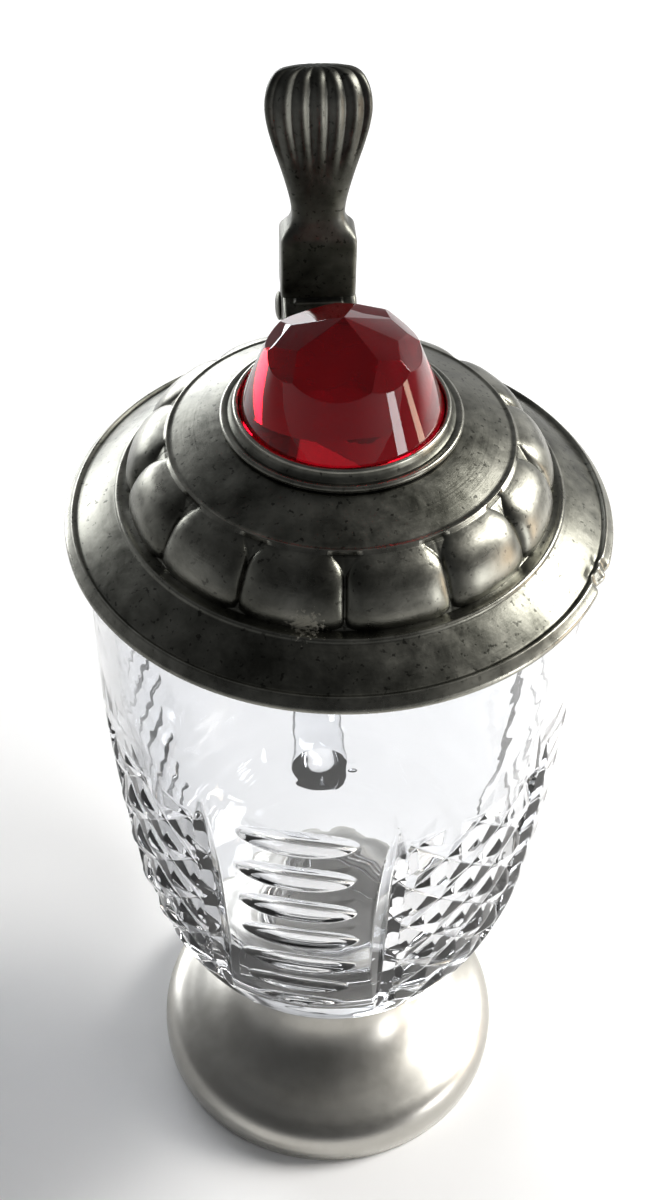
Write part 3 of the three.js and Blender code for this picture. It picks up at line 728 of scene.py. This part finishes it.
def bore():
    return rod_x("b", [(0, -20), (BORE_R, -20), (BORE_R, 20), (0, 20)], PIN_Y, PIN_Z, 64)


def box_loop(w, y0, y1, z, r, n=6):
    """Rounded rectangle in a horizontal plane."""
    pts = []
    for cx, cy, a0 in ((w - r, y1 - r, 0), (-w + r, y1 - r, 90), (-w + r, y0 + r, 180), (w - r, y0 + r, 270)):
        for k in range(n):
            a = (a0 + 90 * k / (n - 1)) * DEG
            pts.append((cx + r * math.cos(a), cy + r * math.sin(a), z))
    return pts


def box_loop_y(w, z0, z1, y, r, n=6):
    return [(x, y, z) for x, z, _ in box_loop(w, z0, z1, 0, r, n)]


band = tube("band", 1.85, 0.0737, 0.168, 60, 72, lip=0.9)
rib1 = tube("rib1", 2.25, 0.0756, 0.0868, 24, 72, lip=0.5)
rib2 = tube("rib2", 2.25, 0.155, 0.1661, 24, 72, lip=0.5)
riser_lv = catmull([(150.0, 4.5, 56.0, 66.0), (154.6, 4.9, 56.4, 65.8), (158, 5.5, 57.2, 65.6), (161.5, 6.3, 58.0, 65.5), (164.6, 7.0, 58.4, 65.5),
                    (167.6, 7.25, 58.6, 65.5), (170.2, 7.25, 58.7, 65.5), (172.4, 7.25, 58.8, 65.4)], 6)
riser = skin("riser", [box_loop(w, y0, y1, z, 1.2) for z, w, y0, y1 in riser_lv])
strap = merge("strap", [band, rib1, rib2, riser] + [knuckle(i) for i in (0, 2, 4)])
cast(strap, 0.17, 5)
boolean(strap, tube("hollow", 0.28, 0.0, 1.0), "DIFFERENCE")
for i in (1, 3):
    boolean(strap, clear(i), "DIFFERENCE")
boolean(strap, bore(), "DIFFERENCE")
strap.data.materials.clear()
strap.data.materials.append(M_PEWTER)
soften(strap, 35)
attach(strap, "stein")
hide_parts("handle_strap")

shank_lv = catmull([(44.0, 5.2, 175.0, 176.6), (45.2, 6.4, 174.4, 176.9), (48.2, 7.05, 172.9, 177.4), (52.5, 7.25, 171.9, 178.0), (56.0, 7.25, 171.4, 178.2), (57.1, 7.2, 171.3, 178.25)], 6)
plate = skin("plate", [box_loop_y(w, z0, z1, y, min(0.7, (z1 - z0) * 0.3)) for y, w, z0, z1 in shank_lv])
tongue = skin("tongue", [box_loop_y(5.15, 171.25, 178.4, y, 0.7) for y in (54.0, 56.0, 59.0, PIN_Y)])
shank = merge("shank", [plate, tongue] + [knuckle(i) for i in (1, 3)])
cast(shank, 0.15, 4)
for i in (0, 2, 4):
    boolean(shank, clear(i), "DIFFERENCE")
boolean(shank, bore(), "DIFFERENCE")
keep_out = lathe("keep", [(0, 160), (50.4, 160), (50.4, 171.4), (49.6, 172.0), (48.4, 172.35), (47.4, 172.2), (45.8, 173.3), (43.6, 174.85), (41.6, 176.05), (39.9, 177.3), (30, 190), (0, 190)], 240)
boolean(shank, keep_out, "DIFFERENCE")
shank.data.materials.clear()
shank.data.materials.append(M_PEWTER)
soften(shank, 35)
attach(shank, "lid")
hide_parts("lid_shank")

pin = rod_x("pin", chain([(0, -8.0)], [(1.3, -8.0), (PIN_R, -7.75), (PIN_R, 7.75), (1.3, 8.0)], [(0, 8.0)]), PIN_Y, PIN_Z, 64)
pin.data.materials.append(M_STEEL)
soften(pin, 30)
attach(pin, "stein")
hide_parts("hinge_pin")
for side, node in ((-1, "pin_cap_left"), (1, "pin_cap_right")):
    x0 = TOTAL / 2
    cap = rod_x(node + "_round", chain([(1.6, x0 + 0.1), (2.8, x0 + 0.1)], arc(2.7, x0 + 0.4, 0.3, -90, 0, 5),
                                       catmull([(3.0, x0 + 0.42), (2.85, x0 + 0.6), (2.4, x0 + 0.85), (1.9, x0 + 1.02), (1.62, x0 + 1.08)], 4)), PIN_Y, PIN_Z, 64)
    if side < 0:
        cap.data.transform(Matrix.Scale(-1, 4, (1, 0, 0)))
        cap.data.flip_normals()
    cap.data.materials.append(M_PEWTER)
    soften(cap, 40)
    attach(cap, "stein")
    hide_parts(node)

# ------------------------------------------------------------------ thumblift
# z, half width, mid-plane y, front half depth, back half depth, squareness, rib depth
LIFT = catmull([
    (178.9, 7.35, 59.0, 4.1, 4.0, 9, 0), (179.6, 7.6, 59.0, 4.3, 4.2, 14, 0), (185, 7.6, 58.8, 4.35, 4.2, 14, 0), (190.6, 7.6, 58.6, 4.4, 4.2, 14, 0),
    (192.2, 7.5, 58.6, 4.25, 4.1, 10, 0), (193.4, 6.9, 58.6, 3.9, 3.8, 6, 0), (194.8, 5.9, 58.6, 3.5, 3.3, 4.2, 0), (196.4, 5.35, 58.7, 3.2, 3.0, 3.4, 0),
    (199, 5.5, 58.7, 3.0, 2.8, 3.0, 0), (203, 6.4, 58.7, 2.85, 2.6, 2.8, 0.0), (207, 7.55, 58.8, 2.75, 2.5, 2.7, 0.08), (211, 8.8, 58.9, 2.65, 2.5, 2.7, 0.42),
    (215, 9.85, 59.2, 2.6, 2.5, 2.6, 0.68), (218, 10.25, 59.6, 2.6, 2.5, 2.6, 0.8), (220.4, 10.1, 60.2, 2.6, 2.5, 2.6, 0.8), (222.4, 9.5, 61.0, 2.5, 2.4, 2.5, 0.75),
    (223.9, 8.5, 61.8, 2.2, 2.2, 2.4, 0.6), (224.7, 7.2, 62.4, 1.7, 1.7, 2.3, 0.4), (225.1, 4.8, 62.8, 1.0, 1.0, 2.1, 0.2), (225.18, 1.2, 62.9, 0.4, 0.4, 2.0, 0.0)], 9)
sections = []
NF = 150
for z, w, ym, hf, hb, p, A in LIFT:
    th = np.linspace(0, 2 * math.pi, 2 * NF, endpoint=False)
    cs, sn = np.cos(th), np.sin(th)
    x = np.sign(cs) * np.abs(cs) ** (2 / p) * w
    depth = np.abs(sn) ** (2 / p)
    front = sn > 0
    y = np.where(front, ym - hf * depth, ym + hb * depth)
    t = (x / w) / 0.334 + 0.5
    rib = (0.5 - 0.5 * np.cos(2 * math.pi * t)) ** 0.7
    fade = np.clip(depth * 1.4, 0, 1)
    y = np.where(front, y + A * (1 - rib) * fade, y)
    # the crown of the shell bends back, so the ribs end in a scalloped edge
    zz = z + np.where(front, 0.0, 0.0) + 0.28 * A * (rib - 0.6) * np.clip((z - 219) / 6, 0, 1) * fade
    sections.append(np.stack([x, y, np.minimum(zz, 225.2)], 1))
lift = skin("lift", sections, M_LIFT)


# brighter upper front of the shell and side edges of the block: partly real wear, partly a painted highlight
def lift_wear_and_highlight(c):
    z = c[:, 2]
    return 0.14 * np.clip((z - 208) / 10, 0, 1) * np.clip((60.5 - c[:, 1]) / 3, 0, 1) + 0.3 * np.exp(-((np.abs(c[:, 0]) - 7.3) / 0.4) ** 2) * (z < 194)


wear_and_highlight(lift, lift_wear_and_highlight)
soften(lift, 40)
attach(lift, "lid")
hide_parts("thumblift")

# ------------------------------------------------------------------ stage, camera, light
mat, nt = nodes_of("floor")
bs = add(nt, "ShaderNodeBsdfPrincipled")
tc = add(nt, "ShaderNodeTexCoord")
n = noise(nt, tc.outputs["Object"], 12, 3, 0.5)
nt.links.new(mix_rgb(nt, n, (0.91, 0.91, 0.915), (0.94, 0.94, 0.945)), bs.inputs["Base Color"])
bs.inputs["Roughness"].default_value = 0.75
out = add(nt, "ShaderNodeOutputMaterial")
nt.links.new(bs.outputs[0], out.inputs["Surface"])
me = bpy.data.meshes.new("floor")
s = 3.0
me.from_pydata([(-s, -s, 0), (s, -s, 0), (s, s, 0), (-s, s, 0)], [], [(0, 1, 2, 3)])
floor = bpy.data.objects.new("floor", me)
me.materials.append(mat)
bpy.context.scene.collection.objects.link(floor)

pan, tilt, roll, phi = -0.0012, 0.7763, 0.0226, -5.5 * DEG
fw = Vector((math.sin(pan) * math.cos(tilt), math.cos(pan) * math.cos(tilt), -math.sin(tilt)))
r0 = fw.cross(Vector((0, 0, 1))).normalized()
u0 = r0.cross(fw)
rt = r0 * math.cos(roll) + u0 * math.sin(roll)
up = -r0 * math.sin(roll) + u0 * math.cos(roll)
turn = Matrix.Rotation(phi, 3, "Z")
cam_data = bpy.data.cameras.new("camera")
cam_data.lens = 49.8
cam_data.sensor_width = 36.0
cam_data.clip_start = 0.01
cam = bpy.data.objects.new("camera", cam_data)
bpy.context.scene.collection.objects.link(cam)
R3 = Matrix((rt, up, -fw)).transposed()
R3 = turn @ R3
cam.matrix_world = Matrix.Translation((turn @ Vector((0, -228.657, 371.245))) * MM) @ R3.to_4x4()
bpy.context.scene.camera = cam


def area(name, loc, target, size, power, colour=(1, 1, 1), size_y=None):
    d = bpy.data.lights.new(name, "AREA")
    d.energy = power
    d.color = colour
    d.size = size
    if size_y:
        d.shape = "RECTANGLE"
        d.size_y = size_y
    o = bpy.data.objects.new(name, d)
    bpy.context.scene.collection.objects.link(o)
    o.location = loc
    o.rotation_euler = (Vector(target) - Vector(loc)).to_track_quat("-Z", "Y").to_euler()
    return o


area("key", (0.66, 0.16, 0.56), (0, 0, 0.15), 0.30, 9.0, (1.0, 0.985, 0.95), 0.42)
area("back", (-0.45, 0.90, 0.30), (0, 0, 0.06), 0.9, 9.0, (0.96, 0.98, 1.0), 0.4)
# two low window strips on the right, which draw upright streaks in the cut glass
area("strip_white", (0.515, -0.31, 0.14), (0, 0, 0.16), 0.12, 0.75, (1.0, 1.0, 1.0), 0.24)
area("strip_warm", (0.60, -0.05, 0.12), (0, 0, 0.16), 0.09, 0.45, (1.0, 0.78, 0.58), 0.24)

world = bpy.data.worlds.new("studio")
bpy.context.scene.world = world
world.use_nodes = True
nt = world.node_tree
nt.nodes.clear()
tc = nt.nodes.new("ShaderNodeTexCoord")
sep = nt.nodes.new("ShaderNodeSeparateXYZ")
nt.links.new(tc.outputs["Generated"], sep.inputs[0])
# bright to the right, grey to the left, dark above and behind the viewer
side = math_node(nt, "ADD", math_node(nt, "MULTIPLY", sep.outputs[0], 0.5), 0.5)
front = math_node(nt, "ADD", math_node(nt, "MULTIPLY", sep.outputs[1], 0.38), 0.66)
high = ramp(nt, sep.outputs[2], [(0.0, 1.0), (0.15, 0.92), (0.38, 0.30), (0.85, 0.15)])
level = math_node(nt, "MULTIPLY", math_node(nt, "MULTIPLY", front, high), 1.0)
col = ramp(nt, side, [(0.0, (0.66, 0.67, 0.69)), (0.40, (0.76, 0.78, 0.81)), (0.62, (0.92, 0.93, 0.95)), (0.85, (1.40, 1.40, 1.40))])
bg = nt.nodes.new("ShaderNodeBackground")
nt.links.new(col, bg.inputs["Color"])
nt.links.new(math_node(nt, "MULTIPLY", level, 1.0), bg.inputs["Strength"])
wo = nt.nodes.new("ShaderNodeOutputWorld")
nt.links.new(bg.outputs[0], wo.inputs["Surface"])
bpy.context.scene.view_settings.view_transform = "Standard"
